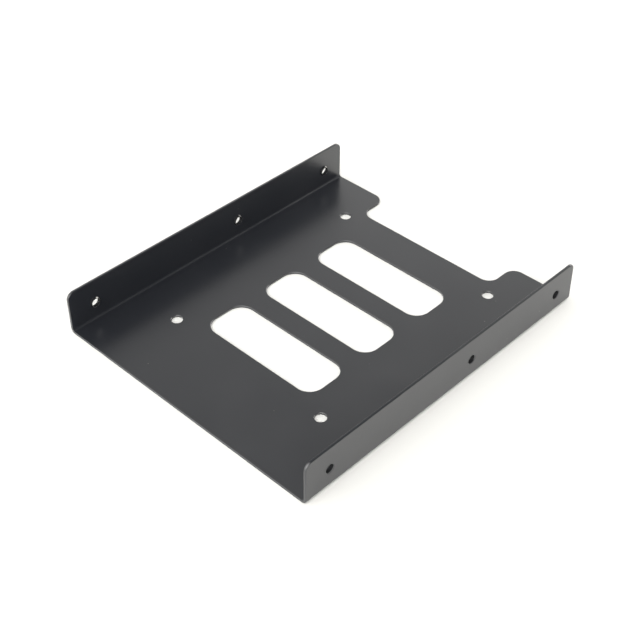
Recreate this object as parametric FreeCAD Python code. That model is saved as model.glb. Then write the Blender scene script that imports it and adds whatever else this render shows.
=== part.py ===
"""Drive bay adapter bracket: one sheet of steel, punched, folded twice and painted.

A small drive lies on the flat deck between the two flanges and is screwed to it from below. The
flanges are screwed between the walls of a larger bay. Sizes are in millimetres. +Z is up and +Y
points to the notched end. The origin is under the middle of the deck.
"""
import FreeCAD
import Part
import math
import os

Vector = FreeCAD.Vector

# The folded sheet.
width = 100.4                   # over the outer faces of the flanges
length = 119.3                  # along the folds
flange_height = 14.9            # from the underside of the deck
sheet = 0.8
fold_inner_radius = 0.8         # as much as the sheet is thick, the usual least for steel
flange_corner_radius = 2.5

# The notch in the far end, which leaves room for the drive's plugs, and the tabs beside it.
notch_width = 55.8
notch_depth = 11.7
notch_inner_radius = 4.0
tab_corner_radius = 4.0

# The row of wide slots across the deck.
slot_length = 45.6
slot_width = 15.8
slot_corner_radius = 5.0
slot_pitch = 23.9
slot_count = 3
slot_row_to_front = 61.6        # from the front end to the middle of the row

# Four plain holes on the pattern that a 2.5 inch drive has in its underside.
drive_hole_diameter = 3.7
drive_hole_spacing_x = 61.72
drive_hole_spacing_y = 76.6
drive_holes_to_far_end = 16.85

# Three tapped holes in each flange, on the pattern that a 3.5 inch drive has in its side. Each is
# chamfered outside, where the tap goes in, and comes out inside through a low lip that it raises.
case_hole_crest_diameter = 2.7  # over the crests of a 6-32 thread
case_hole_mouth_diameter = 3.6
case_hole_mouth_depth = 0.2
lip_height = 0.25
lip_foot_diameter = 3.6
lip_rim_diameter = 3.1
case_hole_height = 6.85         # above the underside of the deck
case_holes_to_far_end = 8.4
case_hole_far_pitch = 41.6
case_hole_near_pitch = 60.0

# Punching rolls the sheet's outline over on the side where the punch goes in, here the outer side
# of the fold. Its burr on the inner side is taken off, and so is that of the slots and holes.
rolled_edge_radius = 0.25
cleaned_edge_size = 0.1

half_width = width / 2
half_length = length / 2
fold_outer_radius = fold_inner_radius + sheet
cutter_overrun = 2.0            # how far a cutter runs past the faces that it cuts through
tolerance = 1e-4


def rounded_face(corners):
    """A flat face whose outline runs through corners given as (point, radius)."""
    stretches = []
    for index, (point, radius) in enumerate(corners):
        before = (corners[index - 1][0] - point).normalize()
        after = (corners[(index + 1) % len(corners)][0] - point).normalize()
        half_turn = before.getAngle(after) / 2
        reach = radius / math.tan(half_turn)
        inward = (before + after).normalize()
        middle = point + inward * (radius / math.sin(half_turn) - radius)
        stretches.append((point + before * reach, middle, point + after * reach))
    edges = []
    for index, (start, middle, end) in enumerate(stretches):
        if start.distanceToPoint(end) > tolerance:
            edges.append(Part.Arc(start, middle, end).toShape())
        following = stretches[(index + 1) % len(stretches)][0]
        edges.append(Part.LineSegment(end, following).toShape())
    return Part.Face(Part.Wire(edges))


def folded_channel():
    """The sheet with its two folds: a U section drawn once and extruded along the folds."""
    inner_half_width = half_width - sheet
    section = [
        ((-half_width, flange_height), 0),
        ((-half_width, 0), fold_outer_radius),
        ((half_width, 0), fold_outer_radius),
        ((half_width, flange_height), 0),
        ((inner_half_width, flange_height), 0),
        ((inner_half_width, sheet), fold_inner_radius),
        ((-inner_half_width, sheet), fold_inner_radius),
        ((-inner_half_width, flange_height), 0),
    ]
    corners = [(Vector(x, -half_length, z), radius) for (x, z), radius in section]
    return rounded_face(corners).extrude(Vector(0, length, 0))


def edges_through(shape, direction, points):
    """The straight edges of a shape that run along a direction and whose line meets a point."""
    found = []
    for edge in shape.Edges:
        if not isinstance(edge.Curve, Part.Line):
            continue
        if edge.tangentAt(edge.FirstParameter).cross(direction).Length > tolerance:
            continue
        for point in points:
            if point.distanceToLine(edge.Vertexes[0].Point, direction) < tolerance:
                found.append(edge)
    return found


def round_flange_corners(shape):
    """The flanges' upper corners, rounded at both ends."""
    along_x = Vector(1, 0, 0)
    points = [Vector(0, y, flange_height) for y in (-half_length, half_length)]
    return shape.makeFillet(flange_corner_radius, edges_through(shape, along_x, points))


def cut_notch(shape):
    """The notch in the far end, with round inner corners and round corners on its tabs."""
    bottom = half_length - notch_depth
    cutter = Part.makeBox(
        notch_width,
        notch_depth + cutter_overrun,
        sheet + 2 * cutter_overrun,
        Vector(-notch_width / 2, bottom, -cutter_overrun),
    )
    notched = shape.cut(cutter)
    along_z = Vector(0, 0, 1)
    sides = (-notch_width / 2, notch_width / 2)
    inner = edges_through(notched, along_z, [Vector(x, bottom, 0) for x in sides])
    rounded = notched.makeFillet(notch_inner_radius, inner)
    outer = edges_through(rounded, along_z, [Vector(x, half_length, 0) for x in sides])
    return rounded.makeFillet(tab_corner_radius, outer)


def slot_cutters():
    """One cutter for each slot across the deck, evenly spaced along the folds."""
    row_middle = -half_length + slot_row_to_front
    half_slot_length = slot_length / 2
    half_slot_width = slot_width / 2
    cutters = []
    for index in range(slot_count):
        y = row_middle + (index - (slot_count - 1) / 2) * slot_pitch
        corners = [
            (-half_slot_length, y - half_slot_width),
            (half_slot_length, y - half_slot_width),
            (half_slot_length, y + half_slot_width),
            (-half_slot_length, y + half_slot_width),
        ]
        outline = [(Vector(a, b, -cutter_overrun), slot_corner_radius) for a, b in corners]
        height = sheet + 2 * cutter_overrun
        cutters.append(rounded_face(outline).extrude(Vector(0, 0, height)))
    return cutters


def drive_hole_cutters():
    """One cutter for each of the four plain holes in the deck."""
    far = half_length - drive_holes_to_far_end
    cutters = []
    for x in (-drive_hole_spacing_x / 2, drive_hole_spacing_x / 2):
        for y in (far - drive_hole_spacing_y, far):
            start = Vector(x, y, -cutter_overrun)
            height = sheet + 2 * cutter_overrun
            cutters.append(Part.makeCylinder(drive_hole_diameter / 2, height, start))
    return cutters


def at_case_holes(profile):
    """A profile turned about the X axis at the right flange, set at each tapped hole of both."""
    along_x = Vector(1, 0, 0)
    face = Part.Face(Part.makePolygon(profile + profile[:1]))
    right = face.revolve(Vector(0, 0, 0), along_x, 360)
    left = right.mirror(Vector(0, 0, 0), along_x)
    far = half_length - case_holes_to_far_end
    middle = far - case_hole_far_pitch
    near = middle - case_hole_near_pitch
    shapes = []
    for y in (near, middle, far):
        for shape in (left, right):
            shapes.append(shape.translated(Vector(0, y, case_hole_height)))
    return shapes


def case_hole_lips():
    """The lips round the tapped holes, each a low cone rooted in the middle of the sheet."""
    foot = lip_foot_diameter / 2
    rim = lip_rim_diameter / 2
    inside = half_width - sheet
    root = inside + sheet / 2
    top = inside - lip_height
    return at_case_holes([
        Vector(root, 0, 0),
        Vector(root, 0, foot),
        Vector(inside, 0, foot),
        Vector(top, 0, rim),
        Vector(top, 0, 0),
    ])


def case_hole_cutters():
    """One cutter for each tapped hole: a bore with a chamfered mouth at the flange's outer face."""
    crest = case_hole_crest_diameter / 2
    mouth = case_hole_mouth_diameter / 2
    past = mouth + (mouth - crest) / case_hole_mouth_depth * cutter_overrun
    start = half_width - sheet - lip_height - cutter_overrun
    end = half_width + cutter_overrun
    return at_case_holes([
        Vector(start, 0, 0),
        Vector(start, 0, crest),
        Vector(half_width - case_hole_mouth_depth, 0, crest),
        Vector(end, 0, past),
        Vector(end, 0, 0),
    ])


def is_skin(face, depth):
    """Whether a face belongs to the sheet's surface that lies a depth inside the outer one."""
    surface = face.Surface
    first_u, last_u, first_v, last_v = face.ParameterRange
    point = face.valueAt((first_u + last_u) / 2, (first_v + last_v) / 2)
    if isinstance(surface, Part.Plane):
        deck = abs(surface.Axis.z) > 1 - tolerance and abs(point.z - depth) < tolerance
        flange = abs(surface.Axis.x) > 1 - tolerance
        return deck or flange and abs(abs(point.x) - half_width + depth) < tolerance
    if isinstance(surface, Part.Cylinder):
        along_fold = abs(surface.Axis.y) > 1 - tolerance
        return along_fold and abs(surface.Radius - fold_outer_radius + depth) < tolerance
    return False


def outline_edges(shape, depth):
    """The edges where the sheet's outline meets its surface at a depth."""
    seen = {}
    for face in shape.Faces:
        if is_skin(face, depth):
            for edge in face.Edges:
                seen.setdefault(edge.hashCode(), []).append(edge)
    return [edges[0] for edges in seen.values() if len(edges) == 1]


def soften_outline(shape):
    """The outline's edges, rolled over on the outer side of the fold and cleaned on the inner."""
    rolled = shape.makeFillet(rolled_edge_radius, outline_edges(shape, 0))
    return rolled.makeChamfer(cleaned_edge_size, outline_edges(rolled, sheet))


def clean_openings(shape):
    """The rims of the openings in the deck, cleaned above and below."""
    rims = []
    for face in shape.Faces:
        if is_skin(face, 0) or is_skin(face, sheet):
            for wire in face.Wires:
                if not wire.isSame(face.OuterWire):
                    rims += wire.Edges
    return shape.makeChamfer(cleaned_edge_size, rims)


def bracket():
    """The whole bracket: its outline first, then the openings in the deck and the tapped holes."""
    outlined = soften_outline(cut_notch(round_flange_corners(folded_channel())))
    opened = clean_openings(outlined.cut(slot_cutters() + drive_hole_cutters()))
    return opened.fuse(case_hole_lips()).cut(case_hole_cutters()).Solids[0]


os.makedirs("parts", exist_ok=True)
solid = bracket()
solid.exportStep("parts/bracket.step")
box = solid.optimalBoundingBox()
print("bracket", solid.ShapeType, "valid", solid.isValid(), "solids", len(solid.Solids))
print("size", round(box.XLength, 3), round(box.YLength, 3), round(box.ZLength, 3))
print("volume", round(solid.Volume, 1), "faces", len(solid.Faces))
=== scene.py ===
"""Drive bay adapter bracket: the folded sheet with its tapped holes and its paint, on a pale floor.

The sheet is dressed from its own solid: its triangles are joined to one skin, its outline is
rounded as punching leaves it, the lips round the six tapped holes are raised, the threads are cut
as a tap cuts them, and the paint is rubbed off the lips. Sizes are in metres. +Z is up and +Y
points to the notched end.
"""
import math

import bmesh
import bpy
from mathutils import Matrix, Vector


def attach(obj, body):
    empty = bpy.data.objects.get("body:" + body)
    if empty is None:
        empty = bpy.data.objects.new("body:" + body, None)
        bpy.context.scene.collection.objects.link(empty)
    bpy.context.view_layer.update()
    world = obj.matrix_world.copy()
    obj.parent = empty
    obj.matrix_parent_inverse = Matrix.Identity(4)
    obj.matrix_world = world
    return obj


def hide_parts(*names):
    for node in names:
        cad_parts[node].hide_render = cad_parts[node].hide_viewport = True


bl_info = {
    "name": "Drive bay adapter bracket",
    "version": (1, 0, 0),
    "blender": (4, 5, 0),
    "location": "3D View > Sidebar > Bracket",
    "description": "Dresses the folded bracket and sets up its studio",
    "category": "Object",
}

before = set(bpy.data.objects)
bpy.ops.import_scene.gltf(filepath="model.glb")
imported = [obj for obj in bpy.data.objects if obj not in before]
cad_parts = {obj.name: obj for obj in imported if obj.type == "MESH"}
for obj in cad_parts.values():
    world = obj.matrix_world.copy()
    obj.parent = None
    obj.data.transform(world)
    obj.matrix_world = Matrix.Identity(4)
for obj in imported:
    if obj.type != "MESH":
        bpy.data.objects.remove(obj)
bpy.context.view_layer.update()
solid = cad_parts["bracket"]

MM = 0.001

# The outer radius and the centre of the solid's folds, and how far its outline is rolled over on
# their outer side.
FOLD_RADIUS = 1.6 * MM
FOLD_CENTRE = 48.6 * MM
ROLLED_EDGE = 0.25 * MM

# The part of the deck that holds its slots and holes: half its width, and its two ends.
OPENINGS_HALF_WIDTH = 34 * MM
OPENINGS_ENDS = (-55 * MM, 47 * MM)

# The tapped holes, as they are in the solid: their places along the folds and above the floor, the
# tops of their lips, the flange's faces, and their chamfered mouths in its outer face.
SCREW_PLACES = (-50.35 * MM, 9.65 * MM, 51.25 * MM)
SCREW_HEIGHT = 6.85 * MM
LIP_TOP = 49.15 * MM
FLANGE_INSIDE = 49.4 * MM
FLANGE_OUTSIDE = 50.2 * MM
MOUTH_RADIUS = 1.8 * MM
MOUTH_DEPTH = 0.2 * MM

# How the outline is rounded: the height above its fold over which the right flange's rolled edge
# grows to its full radius, how far past the solid's own limits a vertex still counts as inside
# them, and how little a vertex's normal leans from the sheet's skin where there is no edge.
ROLL_GROWTH = 3 * FOLD_RADIUS
SLACK = 1.01
FLAT = 0.01

# The tap: the angle of its flanks, the width of the crests that it leaves against the mean width
# of crests and roots, how far its body stays clear of the bore, the turns that are drawn, the turns
# that are kept on each side of its middle, and the facets of one turn.
FLANK_ANGLE = math.radians(30)
CREST_FLAT = 0.4
TAP_CLEARANCE = 0.02 * MM
TAP_TURNS = 5
TAP_HALF_TURNS = 1.5
TAP_FACETS = 48

# How many times the threads are tried, and how many degrees further round the thread starts from
# hole to hole and from try to try.
TRIES = 12
HOLE_TURN = 70
TRY_TURN = 17

# How near each other vertices are joined, in the sheet's skin and in the tap, how near the tap's
# square ends they are taken as cut, how short a sliver is taken out, and what counts as touching.
SKIN_JOIN = 0.001 * MM
TAP_JOIN = 0.002 * MM
TAP_CUT = 0.0001 * MM
SLIVER = 0.0005 * MM
TOUCH = 0.01 * MM

# The coats of the sheet, in the order of its materials. A face is level with the flange when its
# normal's part along X is over this much, and in the bore when the part away from the hole's axis
# is under this much. The rubbed side of a lip is this much turned towards the notched end.
ENAMEL_COAT, STEEL_COAT, SHADED_THREAD_COAT = range(3)
LEVEL = 0.9
IN_BORE = -0.1
RUBBED_SIDE = 0.3

# Edges that turn less than this are shaded smooth, and large faces weigh in full in their shading.
SMOOTH_ANGLE = math.radians(20)
FACE_WEIGHT = 100

# The enamel: the size and height of its orange peel and how much that shows, the size of the marks
# of handling and how far they change its roughness, and its specks of dust, full to the first
# radius and gone at the second. Real dust is finer: the specks are as coarse as they need to show.
PEEL_SIZE = 0.9 * MM
PEEL_HEIGHT = 0.02 * MM
PEEL_STRENGTH = 0.08
MARK_SIZE = 22 * MM
MARK_NOISE = (0.35, 0.75)
MARK_ROUGHNESS = (-0.02, 0.05)
SPECK_SPACING = 8 * MM
SPECK_RADII = (0.144 * MM, 0.208 * MM)
SPECK_COVER = 0.35

# The rubbed steel: the size of the patches of enamel that stay on it, and the noise at which they
# end. Real scratches are finer: the patches are as coarse as they need to show.
PATCH_SIZE = 0.8 * MM
PATCH_NOISE = (0.40, 0.48)

# The enamel in the threads: the size of its grain, how rough that makes it, and how little it
# shines. Its real grain is finer: it is as coarse as it needs to show. Its colour, darker than the
# enamel on the faces, is painted shade in the bores.
THREAD_GRAIN = 0.3 * MM
THREAD_ROUGHNESS = (0.6, 0.9)
THREAD_SHINE = 0.2

# The detail of a noise: two octaves below its size, and three for the floor.
FINE_DETAIL = 2.0
FLOOR_DETAIL = 3.0

# The floor: its width, how far it lies under the bracket, its mottle and its matt surface. Real
# fibres are far finer: the mottle is as coarse as it needs to show.
FLOOR_WIDTH = 6.0
FLOOR_GAP = 0.02 * MM
MOTTLE_SIZE = 30 * MM
MOTTLE = (0.995, 1.005)
FLOOR_ROUGHNESS = 0.9
FLOOR_SHINE = 0.1

# The studio's sky: how fast its walls darken upwards, and its three soft patches. Each has its
# azimuth, from the notched end round by the left, and its elevation, both in degrees, and how tight
# it is: the power of the cosine of the angle from its middle.
WALL_FADE = 1.6
SOFT_BOX = (203, 47, 4.3)
DARK_SIDE = (311, 18, 5.9)
BACKDROP = (-8, 21, 25.0)

# The camera's sensor in millimetres, and the range that it sees.
SENSOR_WIDTH = 36.0
NEAREST = 0.01
FARTHEST = 20.0


class BracketFinish(bpy.types.PropertyGroup):
    """The sizes and colours of the bracket's finish."""

    thread_pitch: bpy.props.FloatProperty(
        name="Thread pitch",
        description="Rise of the screw thread in one turn",
        default=0.794 * MM,
        unit="LENGTH",
        precision=6,
    )
    thread_crest: bpy.props.FloatProperty(
        name="Thread crest diameter",
        description="Width of the bore between the thread's crests",
        default=2.7 * MM,
        unit="LENGTH",
        precision=6,
    )
    thread_root: bpy.props.FloatProperty(
        name="Thread root diameter",
        description="Width over the roots, shallow so that the lip round the thread stays whole",
        default=3.0 * MM,
        unit="LENGTH",
        precision=6,
    )
    rolled_edge: bpy.props.FloatProperty(
        name="Rolled edge",
        description="Radius to which the right flange's outer edges are rolled over",
        default=0.5 * MM,
        unit="LENGTH",
        precision=6,
    )
    plain_edge: bpy.props.FloatProperty(
        name="Plain edge",
        description="Radius to which the rest of the outline is rolled over, on the same side",
        default=0.12 * MM,
        unit="LENGTH",
        precision=6,
    )
    lip_rise: bpy.props.FloatProperty(
        name="Lip rise",
        description="How much further than the solid's the lips round the tapped holes stand up",
        default=0.35 * MM,
        unit="LENGTH",
        precision=6,
    )
    paint: bpy.props.StringProperty(
        name="Paint",
        description="Colour of the paint under its gloss, as an sRGB hex value",
        default="1d1f24",
    )
    roughness: bpy.props.FloatProperty(
        name="Roughness",
        description="How wide the paint spreads a reflection",
        default=0.3,
        min=0.0,
        max=1.0,
        subtype="FACTOR",
    )
    gloss: bpy.props.FloatProperty(
        name="Gloss",
        description="Refractive index of the paint, which sets how strongly it reflects",
        default=1.85,
        min=1.0,
    )
    # The threads' colour is darker than the paint's: painted shade in the bores.
    thread: bpy.props.StringProperty(
        name="Thread",
        description="Colour of the enamel in the threads, as an sRGB hex value",
        default="17181a",
    )
    dust: bpy.props.StringProperty(
        name="Dust",
        description="Colour of the specks of dust on the paint, as an sRGB hex value",
        default="a8a49c",
    )
    steel: bpy.props.StringProperty(
        name="Bare steel",
        description="Colour of the steel where the paint is rubbed off, as an sRGB hex value",
        default="b9b8b4",
    )


class BracketStudio(bpy.types.PropertyGroup):
    """The floor, the light and the camera."""

    floor: bpy.props.StringProperty(
        name="Floor",
        description="Colour of the floor, as an sRGB hex value",
        default="e8e8e6",
    )
    tint: bpy.props.StringProperty(
        name="Light",
        description="Colour of the light, as an sRGB hex value",
        default="fffefb",
    )
    walls: bpy.props.FloatProperty(
        name="Walls",
        description="Brightness of the studio's walls, down at the floor",
        default=3.0,
    )
    soft_box: bpy.props.FloatProperty(
        name="Soft box",
        description="Brightness of the wide lamp above and behind the camera",
        default=4.1,
    )
    dark_side: bpy.props.FloatProperty(
        name="Dark side",
        description="How much light the open side of the studio, at the right, takes away",
        default=5.9,
    )
    backdrop: bpy.props.FloatProperty(
        name="Backdrop",
        description="Brightness of the small patch of light behind the bracket",
        default=6.5,
    )
    azimuth: bpy.props.FloatProperty(
        name="Azimuth",
        description="Angle of the camera round the bracket, from its plain end",
        default=math.radians(43.683),
        subtype="ANGLE",
    )
    elevation: bpy.props.FloatProperty(
        name="Elevation",
        description="Angle of the camera above the floor",
        default=math.radians(40.305),
        subtype="ANGLE",
    )
    roll: bpy.props.FloatProperty(
        name="Roll",
        description="Turn of the camera about its own axis",
        default=math.radians(0.307),
        subtype="ANGLE",
    )
    distance: bpy.props.FloatProperty(
        name="Distance",
        description="From the camera to the point that it looks at",
        default=383.178 * MM,
        unit="LENGTH",
    )
    aim: bpy.props.FloatVectorProperty(
        name="Aim",
        description="The point that the camera looks at",
        default=(-1.654 * MM, -0.244 * MM, -2.697 * MM),
        subtype="TRANSLATION",
    )
    lens: bpy.props.FloatProperty(
        name="Lens",
        description="Focal length in millimetres",
        default=68.587,
    )


def linear(colour):
    """The linear red, green, blue and alpha of an sRGB hex value."""
    channels = [int(colour[i : i + 2], 16) / 255 for i in (0, 2, 4)]
    return [c / 12.92 if c <= 0.04045 else ((c + 0.055) / 1.055) ** 2.4 for c in channels] + [1.0]


def add_node(tree, kind, settings=None, links=None):
    """A new node of a kind. Links give each input a socket to read, or a plain value."""
    node = tree.nodes.new(kind)
    for name, value in (settings or {}).items():
        setattr(node, name, value)
    for name, source in (links or {}).items():
        if isinstance(source, bpy.types.NodeSocket):
            tree.links.new(source, node.inputs[name])
        else:
            node.inputs[name].default_value = source
    return node


def new_material(name):
    """An empty node material, its tree and the coordinates that its patterns read."""
    material = bpy.data.materials.new(name)
    material.use_nodes = True
    tree = material.node_tree
    tree.nodes.clear()
    place = add_node(tree, "ShaderNodeTexCoord").outputs["Object"]
    return material, tree, place


def select_only(thing):
    """Makes one object the only one selected, and the active one."""
    bpy.ops.object.select_all(action="DESELECT")
    thing.select_set(True)
    bpy.context.view_layer.objects.active = thing


def satin_black_enamel(finish):
    """Baked enamel on cold-rolled steel, charcoal more than black: it gives back soft, wide
    reflections, a little broken by its orange peel and duller where hands have been, and it shows
    each speck of dust.
    """
    material, tree, place = new_material("satin_black_enamel")
    peel = add_node(
        tree,
        "ShaderNodeTexNoise",
        links={"Vector": place, "Scale": 1 / PEEL_SIZE, "Detail": FINE_DETAIL},
    )
    bump = add_node(
        tree,
        "ShaderNodeBump",
        links={
            "Height": peel.outputs["Fac"],
            "Strength": PEEL_STRENGTH,
            "Distance": PEEL_HEIGHT,
        },
    )
    handling = add_node(
        tree,
        "ShaderNodeTexNoise",
        links={"Vector": place, "Scale": 1 / MARK_SIZE, "Detail": FINE_DETAIL},
    )
    roughness = add_node(
        tree,
        "ShaderNodeMapRange",
        links={
            "Value": handling.outputs["Fac"],
            "From Min": MARK_NOISE[0],
            "From Max": MARK_NOISE[1],
            "To Min": finish.roughness + MARK_ROUGHNESS[0],
            "To Max": finish.roughness + MARK_ROUGHNESS[1],
        },
    )
    dust = add_node(
        tree,
        "ShaderNodeTexVoronoi",
        links={"Vector": place, "Scale": 1 / SPECK_SPACING},
    )
    speck = add_node(
        tree,
        "ShaderNodeMapRange",
        links={
            "Value": dust.outputs["Distance"],
            "From Min": SPECK_RADII[0] / SPECK_SPACING,
            "From Max": SPECK_RADII[1] / SPECK_SPACING,
            "To Min": SPECK_COVER,
            "To Max": 0.0,
        },
    )
    colour = add_node(
        tree,
        "ShaderNodeMixRGB",
        links={
            "Fac": speck.outputs["Result"],
            "Color1": linear(finish.paint),
            "Color2": linear(finish.dust),
        },
    )
    shader = add_node(
        tree,
        "ShaderNodeBsdfPrincipled",
        links={
            "Base Color": colour.outputs["Color"],
            "Roughness": roughness.outputs["Result"],
            "IOR": finish.gloss,
            "Normal": bump.outputs["Normal"],
        },
    )
    add_node(tree, "ShaderNodeOutputMaterial", links={"Surface": shader.outputs["BSDF"]})
    return material


def rubbed_steel(finish):
    """Cold-rolled steel, rubbed bare: it glints between the patches of enamel that stay on it."""
    material, tree, place = new_material("rubbed_steel")
    patches = add_node(
        tree,
        "ShaderNodeTexNoise",
        links={"Vector": place, "Scale": 1 / PATCH_SIZE, "Detail": FINE_DETAIL},
    )
    bare = add_node(
        tree,
        "ShaderNodeMapRange",
        links={
            "Value": patches.outputs["Fac"],
            "From Min": PATCH_NOISE[0],
            "From Max": PATCH_NOISE[1],
        },
    )
    colour = add_node(
        tree,
        "ShaderNodeMixRGB",
        links={
            "Fac": bare.outputs["Result"],
            "Color1": linear(finish.paint),
            "Color2": linear(finish.steel),
        },
    )
    shader = add_node(
        tree,
        "ShaderNodeBsdfPrincipled",
        links={
            "Base Color": colour.outputs["Color"],
            "Metallic": bare.outputs["Result"],
            "Roughness": finish.roughness,
        },
    )
    add_node(tree, "ShaderNodeOutputMaterial", links={"Surface": shader.outputs["BSDF"]})
    return material


def shaded_thread_enamel(finish):
    """The same enamel, thin and rough over the cuts of the tap and nearly without gloss, coloured
    darker than the faces' enamel as painted shade in the bores.
    """
    material, tree, place = new_material("shaded_thread_enamel")
    grain = add_node(
        tree,
        "ShaderNodeTexNoise",
        links={"Vector": place, "Scale": 1 / THREAD_GRAIN, "Detail": FINE_DETAIL},
    )
    roughness = add_node(
        tree,
        "ShaderNodeMapRange",
        links={
            "Value": grain.outputs["Fac"],
            "To Min": THREAD_ROUGHNESS[0],
            "To Max": THREAD_ROUGHNESS[1],
        },
    )
    shader = add_node(
        tree,
        "ShaderNodeBsdfPrincipled",
        links={
            "Base Color": linear(finish.thread),
            "Roughness": roughness.outputs["Result"],
            "Specular IOR Level": THREAD_SHINE,
        },
    )
    add_node(tree, "ShaderNodeOutputMaterial", links={"Surface": shader.outputs["BSDF"]})
    return material


def floor_board(studio):
    """Matt white board: plain and pale, with the faintest mottle of its fibres."""
    material, tree, place = new_material("floor_board")
    fibres = add_node(
        tree,
        "ShaderNodeTexNoise",
        links={"Vector": place, "Scale": 1 / MOTTLE_SIZE, "Detail": FLOOR_DETAIL},
    )
    mottle = add_node(
        tree,
        "ShaderNodeMapRange",
        links={"Value": fibres.outputs["Fac"], "To Min": MOTTLE[0], "To Max": MOTTLE[1]},
    )
    colour = add_node(
        tree,
        "ShaderNodeHueSaturation",
        links={"Color": linear(studio.floor), "Value": mottle.outputs["Result"]},
    )
    shader = add_node(
        tree,
        "ShaderNodeBsdfPrincipled",
        links={
            "Base Color": colour.outputs["Color"],
            "Roughness": FLOOR_ROUGHNESS,
            "Specular IOR Level": FLOOR_SHINE,
        },
    )
    add_node(tree, "ShaderNodeOutputMaterial", links={"Surface": shader.outputs["BSDF"]})
    return material


def light_studio(studio):
    """Lights the studio with its sky alone: white walls that fade upwards, and soft patches."""
    world = bpy.data.worlds.new("studio")
    bpy.context.scene.world = world
    world.use_nodes = True
    tree = world.node_tree
    tree.nodes.clear()
    ray = add_node(tree, "ShaderNodeTexCoord").outputs["Generated"]
    height = add_node(tree, "ShaderNodeSeparateXYZ", links={"Vector": ray}).outputs["Z"]
    below = add_node(tree, "ShaderNodeMath", {"operation": "SUBTRACT"}, {0: 1.0, 1: height})
    fade = add_node(
        tree,
        "ShaderNodeMath",
        {"operation": "POWER"},
        {0: below.outputs["Value"], 1: WALL_FADE},
    )
    light = add_node(
        tree,
        "ShaderNodeMath",
        {"operation": "MULTIPLY"},
        {0: fade.outputs["Value"], 1: studio.walls},
    ).outputs["Value"]
    for (azimuth, elevation, tightness), strength in (
        (SOFT_BOX, studio.soft_box),
        (DARK_SIDE, -studio.dark_side),
        (BACKDROP, studio.backdrop),
    ):
        turn = math.radians(azimuth)
        rise = math.radians(elevation)
        towards = Vector((-math.sin(turn), math.cos(turn), math.tan(rise))).normalized()
        facing = add_node(
            tree,
            "ShaderNodeVectorMath",
            {"operation": "DOT_PRODUCT"},
            {0: ray, 1: towards},
        )
        ahead = add_node(
            tree,
            "ShaderNodeMath",
            {"operation": "MAXIMUM"},
            {0: facing.outputs["Value"], 1: 0.0},
        )
        patch = add_node(
            tree,
            "ShaderNodeMath",
            {"operation": "POWER"},
            {0: ahead.outputs["Value"], 1: tightness},
        )
        total = add_node(
            tree,
            "ShaderNodeMath",
            {"operation": "MULTIPLY_ADD"},
            {0: patch.outputs["Value"], 1: strength, 2: light},
        )
        light = add_node(
            tree,
            "ShaderNodeMath",
            {"operation": "MAXIMUM"},
            {0: total.outputs["Value"], 1: 0.0},
        ).outputs["Value"]
    sky = add_node(
        tree,
        "ShaderNodeBackground",
        links={"Color": linear(studio.tint), "Strength": light},
    )
    add_node(tree, "ShaderNodeOutputWorld", links={"Surface": sky.outputs["Background"]})


def apply_modifiers(thing):
    """Applies an object's modifiers in their order."""
    select_only(thing)
    for name in [modifier.name for modifier in thing.modifiers]:
        bpy.ops.object.modifier_apply(modifier=name)


def screw_tap(finish):
    """A tap along Z: one tooth drawn point by point, screwed up for a few turns and cut square."""
    body = finish.thread_crest / 2 - TAP_CLEARANCE
    root = finish.thread_root / 2
    pitch = finish.thread_pitch
    bpy.ops.mesh.primitive_plane_add(size=MM, location=(body, 0, -pitch * TAP_TURNS / 2))
    tap = bpy.context.object
    tap.name = "tap"
    bpy.ops.object.mode_set(mode="EDIT")
    bpy.ops.mesh.select_all(action="SELECT")
    bpy.ops.mesh.merge(type="CENTER")
    flank = (root - body) * math.tan(FLANK_ANGLE)
    flat = (pitch - 2 * flank) / 2
    valley = flat * CREST_FLAT
    tooth = flat * (2 - CREST_FLAT)
    for out, up in ((0, valley), (root - body, flank), (0, tooth), (body - root, flank)):
        bpy.ops.mesh.extrude_region_move(TRANSFORM_OT_translate={"value": (out, 0, up)})
    bpy.ops.object.mode_set(mode="OBJECT")
    bpy.ops.object.transform_apply(location=True, rotation=False, scale=False)
    screw = tap.modifiers.new("turns", "SCREW")
    screw.axis = "Z"
    screw.angle = math.tau
    screw.screw_offset = pitch
    screw.iterations = TAP_TURNS
    screw.steps = TAP_FACETS
    screw.render_steps = TAP_FACETS
    apply_modifiers(tap)
    bpy.ops.object.mode_set(mode="EDIT")
    bpy.ops.mesh.select_all(action="SELECT")
    bpy.ops.mesh.remove_doubles(threshold=TAP_JOIN)
    for end in (-1, 1):
        bpy.ops.mesh.select_all(action="SELECT")
        bpy.ops.mesh.bisect(
            plane_co=(0, 0, end * pitch * TAP_HALF_TURNS),
            plane_no=(0, 0, end),
            use_fill=True,
            clear_outer=True,
            threshold=TAP_CUT,
        )
    bpy.ops.mesh.select_all(action="SELECT")
    bpy.ops.mesh.normals_make_consistent(inside=False)
    bpy.ops.object.mode_set(mode="OBJECT")
    return tap


def is_opening(place):
    """Whether a place is at the rim of a slot or a hole, and not on the sheet's outline."""
    x, y, z = place
    if abs(x) < OPENINGS_HALF_WIDTH:
        return OPENINGS_ENDS[0] < y < OPENINGS_ENDS[1]
    to_holes = [math.hypot(y - at, z - SCREW_HEIGHT) for at in SCREW_PLACES]
    return min(to_holes) < SLACK * MOUTH_RADIUS


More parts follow.
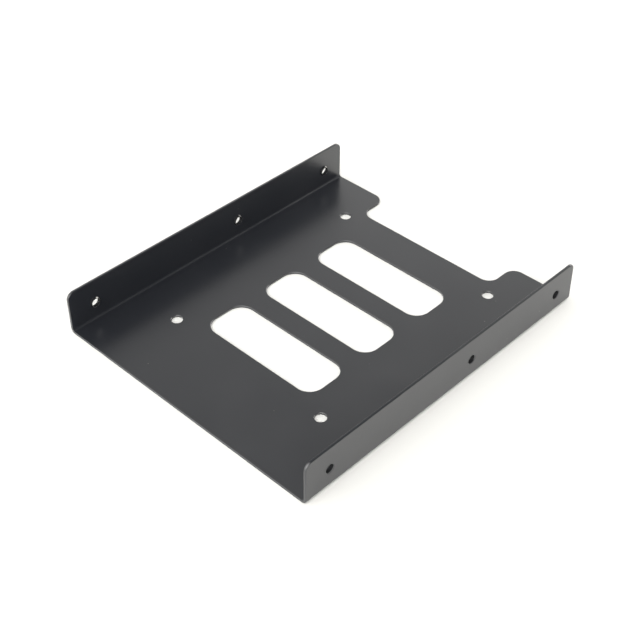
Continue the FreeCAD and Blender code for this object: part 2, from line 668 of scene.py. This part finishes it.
def shape_outline(sheet, finish):
    """Rounds the outline on the folds' outer side: the right flange's much, the rest a little.

    The solid's own rounded edge is scaled, about the line where the outer skin and the outline's
    face would meet in a sharp corner.
    """
    for vertex in sheet.data.vertices:
        x, y, z = vertex.co
        core = Vector((max(-FOLD_CENTRE, min(FOLD_CENTRE, x)), y, max(FOLD_RADIUS, z)))
        skin = vertex.co - core
        depth = max(FOLD_RADIUS - skin.length, 0)
        skin.normalize()
        outward = vertex.normal - skin * vertex.normal.dot(skin)
        inside = depth > SLACK * ROLLED_EDGE or outward.length < FLAT
        if inside or is_opening(vertex.co):
            continue
        share = max(0, min(1, (z - FOLD_RADIUS) / ROLL_GROWTH)) if x > 0 else 0
        radius = finish.plain_edge + share * (finish.rolled_edge - finish.plain_edge)
        short = max(ROLLED_EDGE - depth, 0)
        inset = ROLLED_EDGE - math.sqrt(ROLLED_EDGE**2 - short**2)
        push = outward.normalized() * inset + skin * depth
        vertex.co -= push * (radius / ROLLED_EDGE - 1)


def is_sound(mesh):
    """Whether a mesh is closed and stays between the flanges' outer faces."""
    skin = bmesh.new()
    skin.from_mesh(mesh)
    closed = all(edge.is_manifold for edge in skin.edges)
    within = all(abs(vertex.co.x) < FLANGE_OUTSIDE + TOUCH for vertex in skin.verts)
    skin.free()
    return closed and within


def cut_threads(sheet, tap, middle):
    """Cuts the six threads in one go, and again with the taps turned further if that fails.

    A cut fails now and then where faces nearly meet, so what it leaves is tested.
    """
    uncut = sheet.data.copy()
    for attempt in range(TRIES):
        bpy.ops.object.select_all(action="DESELECT")
        for side in (-1, 1):
            for index, place in enumerate(SCREW_PLACES):
                cutter = tap.copy()
                cutter.data = tap.data.copy()
                bpy.context.scene.collection.objects.link(cutter)
                turn = Matrix.Rotation(side * math.pi / 2, 4, "Y")
                start = math.radians(HOLE_TURN * index + TRY_TURN * attempt)
                phase = Matrix.Rotation(start, 4, "Z")
                at = Matrix.Translation((side * middle, place, SCREW_HEIGHT))
                cutter.data.transform(at @ turn @ phase)
                cutter.select_set(True)
        bpy.context.view_layer.objects.active = cutter
        bpy.ops.object.join()
        cut = sheet.modifiers.new("threads", "BOOLEAN")
        cut.operation = "DIFFERENCE"
        cut.solver = "EXACT"
        cut.object = cutter
        apply_modifiers(sheet)
        bpy.data.objects.remove(cutter)
        bpy.ops.object.mode_set(mode="EDIT")
        bpy.ops.mesh.select_all(action="SELECT")
        bpy.ops.mesh.dissolve_degenerate(threshold=SLIVER)
        bpy.ops.object.mode_set(mode="OBJECT")
        if len(sheet.data.vertices) > len(uncut.vertices) and is_sound(sheet.data):
            return
        sheet.data = uncut.copy()
    raise RuntimeError("the threads can't be cut")


def coat_at(face):
    """The coat of a face, by its place.

    The lips' rims are rubbed, and so is the side of the lips that faces the notched end, where a
    drive is slid in. The bores and the rest of the lips have the thread's enamel, coloured darker
    as painted shade.
    """
    centre = face.center
    rises = centre.z - SCREW_HEIGHT
    from_axis, place = min((math.hypot(centre.y - place, rises), place) for place in SCREW_PLACES)
    along = centre.y - place
    outward = (face.normal.y * along + face.normal.z * rises) / from_axis
    level = abs(face.normal.x) > LEVEL
    mouth = level and abs(centre.x) > FLANGE_OUTSIDE - MOUTH_DEPTH
    if from_axis > MOUTH_RADIUS or mouth:
        return ENAMEL_COAT
    if abs(centre.x) > FLANGE_INSIDE or outward < IN_BORE:
        return SHADED_THREAD_COAT
    rubbed = along > RUBBED_SIDE * from_axis and rises > 0
    return STEEL_COAT if level or rubbed else SHADED_THREAD_COAT


class BRACKET_OT_sheet(bpy.types.Operator):
    """Rounds the sheet's outline, raises its lips, cuts its threads and paints it"""

    bl_idname = "bracket.sheet"
    bl_label = "Folded sheet"

    def execute(self, context):
        finish = context.scene.bracket_finish
        bpy.ops.object.select_all(action="DESELECT")
        sheet = solid.copy()
        sheet.data = solid.data.copy()
        sheet.name = "bracket_sheet"
        # The copy keeps the node's mesh and none of its marks.
        for key in list(sheet.keys()):
            del sheet[key]
        sheet.parent = None
        context.scene.collection.objects.link(sheet)
        select_only(sheet)
        bpy.ops.mesh.customdata_custom_splitnormals_clear()
        bpy.ops.object.mode_set(mode="EDIT")
        # With vertices alone to select, the lips' tops are moved later and nothing beside them.
        bpy.ops.mesh.select_mode(type="VERT")
        bpy.ops.mesh.select_all(action="SELECT")
        bpy.ops.mesh.remove_doubles(threshold=SKIN_JOIN)
        bpy.ops.mesh.select_all(action="DESELECT")
        bpy.ops.object.mode_set(mode="OBJECT")
        shape_outline(sheet, finish)
        for vertex in sheet.data.vertices:
            vertex.select = abs(abs(vertex.co.x) - LIP_TOP) < TOUCH
        rim = LIP_TOP - finish.lip_rise
        bpy.ops.object.mode_set(mode="EDIT")
        bpy.ops.transform.resize(value=(rim / LIP_TOP, 1, 1), center_override=(0, 0, 0))
        bpy.ops.object.mode_set(mode="OBJECT")
        sheet.data.materials.clear()
        sheet.data.materials.append(satin_black_enamel(finish))
        sheet.data.materials.append(rubbed_steel(finish))
        sheet.data.materials.append(shaded_thread_enamel(finish))
        tap = screw_tap(finish)
        cut_threads(sheet, tap, (rim + FLANGE_OUTSIDE) / 2)
        bpy.data.objects.remove(tap)
        for face in sheet.data.polygons:
            face.material_index = coat_at(face)
        select_only(sheet)
        bpy.ops.object.shade_smooth_by_angle(angle=SMOOTH_ANGLE)
        weigh = sheet.modifiers.new("weigh", "WEIGHTED_NORMAL")
        weigh.mode = "FACE_AREA"
        weigh.weight = FACE_WEIGHT
        weigh.keep_sharp = True
        apply_modifiers(sheet)
        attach(sheet, "root")
        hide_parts("bracket")
        return {"FINISHED"}


class BRACKET_OT_stage(bpy.types.Operator):
    """Lays the floor, hangs the soft light and sets the camera"""

    bl_idname = "bracket.stage"
    bl_label = "Studio"

    def execute(self, context):
        studio = context.scene.bracket_studio
        bpy.ops.object.select_all(action="DESELECT")
        bpy.ops.mesh.primitive_plane_add(size=FLOOR_WIDTH, location=(0, 0, -FLOOR_GAP))
        floor = context.object
        floor.name = "floor"
        bpy.ops.object.transform_apply(location=True, rotation=False, scale=False)
        floor.data.materials.append(floor_board(studio))

        light_studio(studio)

        camera_data = bpy.data.cameras.new("camera")
        camera_data.lens = studio.lens
        camera_data.sensor_width = SENSOR_WIDTH
        camera_data.sensor_fit = "HORIZONTAL"
        camera_data.clip_start = NEAREST
        camera_data.clip_end = FARTHEST
        camera = bpy.data.objects.new("camera", camera_data)
        context.scene.collection.objects.link(camera)
        turn = (
            Matrix.Rotation(studio.azimuth, 4, "Z")
            @ Matrix.Rotation(math.pi / 2 - studio.elevation, 4, "X")
            @ Matrix.Rotation(studio.roll, 4, "Z")
        )
        back = turn.to_3x3() @ Vector((0, 0, 1))
        place = Vector(studio.aim) + back * studio.distance
        camera.matrix_world = Matrix.Translation(place) @ turn
        context.scene.camera = camera
        context.scene.view_settings.view_transform = "Standard"
        return {"FINISHED"}


class BRACKET_PT_panel(bpy.types.Panel):
    """The bracket's steps and values"""

    bl_idname = "BRACKET_PT_panel"
    bl_label = "Bracket"
    bl_space_type = "VIEW_3D"
    bl_region_type = "UI"
    bl_category = "Bracket"

    def draw(self, context):
        layout = self.layout
        for operator in OPERATORS:
            layout.operator(operator.bl_idname)
        for group in (context.scene.bracket_finish, context.scene.bracket_studio):
            for name in group.__annotations__:
                layout.prop(group, name)


OPERATORS = (BRACKET_OT_sheet, BRACKET_OT_stage)
CLASSES = (BracketFinish, BracketStudio, *OPERATORS, BRACKET_PT_panel)


def register():
    for each in CLASSES:
        bpy.utils.register_class(each)
    bpy.types.Scene.bracket_finish = bpy.props.PointerProperty(type=BracketFinish)
    bpy.types.Scene.bracket_studio = bpy.props.PointerProperty(type=BracketStudio)


def unregister():
    del bpy.types.Scene.bracket_studio
    del bpy.types.Scene.bracket_finish
    for each in reversed(CLASSES):
        bpy.utils.unregister_class(each)


def main():
    register()
    bpy.ops.bracket.sheet()
    bpy.ops.bracket.stage()


if __name__ == "__main__":
    main()
